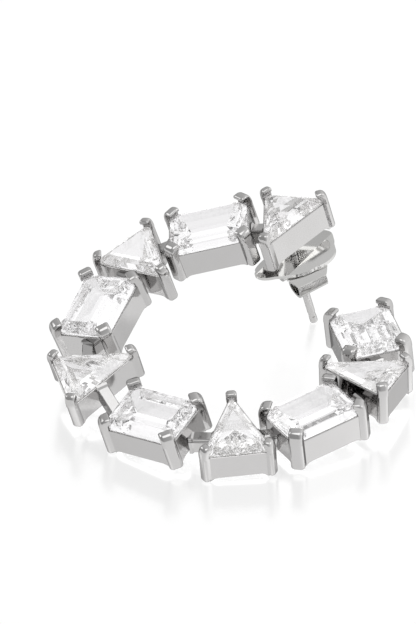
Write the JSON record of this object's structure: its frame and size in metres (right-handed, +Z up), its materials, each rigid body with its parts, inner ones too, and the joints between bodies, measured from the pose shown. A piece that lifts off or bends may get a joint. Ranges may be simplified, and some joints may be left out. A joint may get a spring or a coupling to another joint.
{
  "type": "hoop earring",
  "caption": "Open hoop earring of claw-set clear stones, triangular and emerald cut by turns, on an ear post with a butterfly clutch.",
  "frame": {"origin": "on the table, under the middle of the earring's box", "axes": "+Z up with the earring lying at rest on its lowest claws and the tip of the ear post; +X towards the free end of the hoop"},
  "size_m": [0.0389, 0.0348, 0.016],
  "materials": {
    "plated_metal": "polished rhodium-white plating",
    "clutch_metal": "polished rhodium-white plating on sheet",
    "clear_stone": "faceted, clear, brilliant polish"
  },
  "bodies": {
    "hoop": {"hoop_frame": "plated_metal", "triangle_stone_01": "clear_stone", "emerald_stone_02": "clear_stone", "triangle_stone_03": "clear_stone", "emerald_stone_04": "clear_stone", "triangle_stone_05": "clear_stone", "emerald_stone_06": "clear_stone", "triangle_stone_07": "clear_stone", "emerald_stone_08": "clear_stone", "triangle_stone_09": "clear_stone", "emerald_stone_10": "clear_stone"},
    "clutch": {"butterfly_clutch": "clutch_metal"}
  },
  "joints": [
    {"name": "clutch_slide", "type": "slide", "parent": "hoop", "child": "clutch", "axis": [0.1972, 0.0628, -0.9783], "range_m": [-0.0007, 0.0098]}
  ]
}
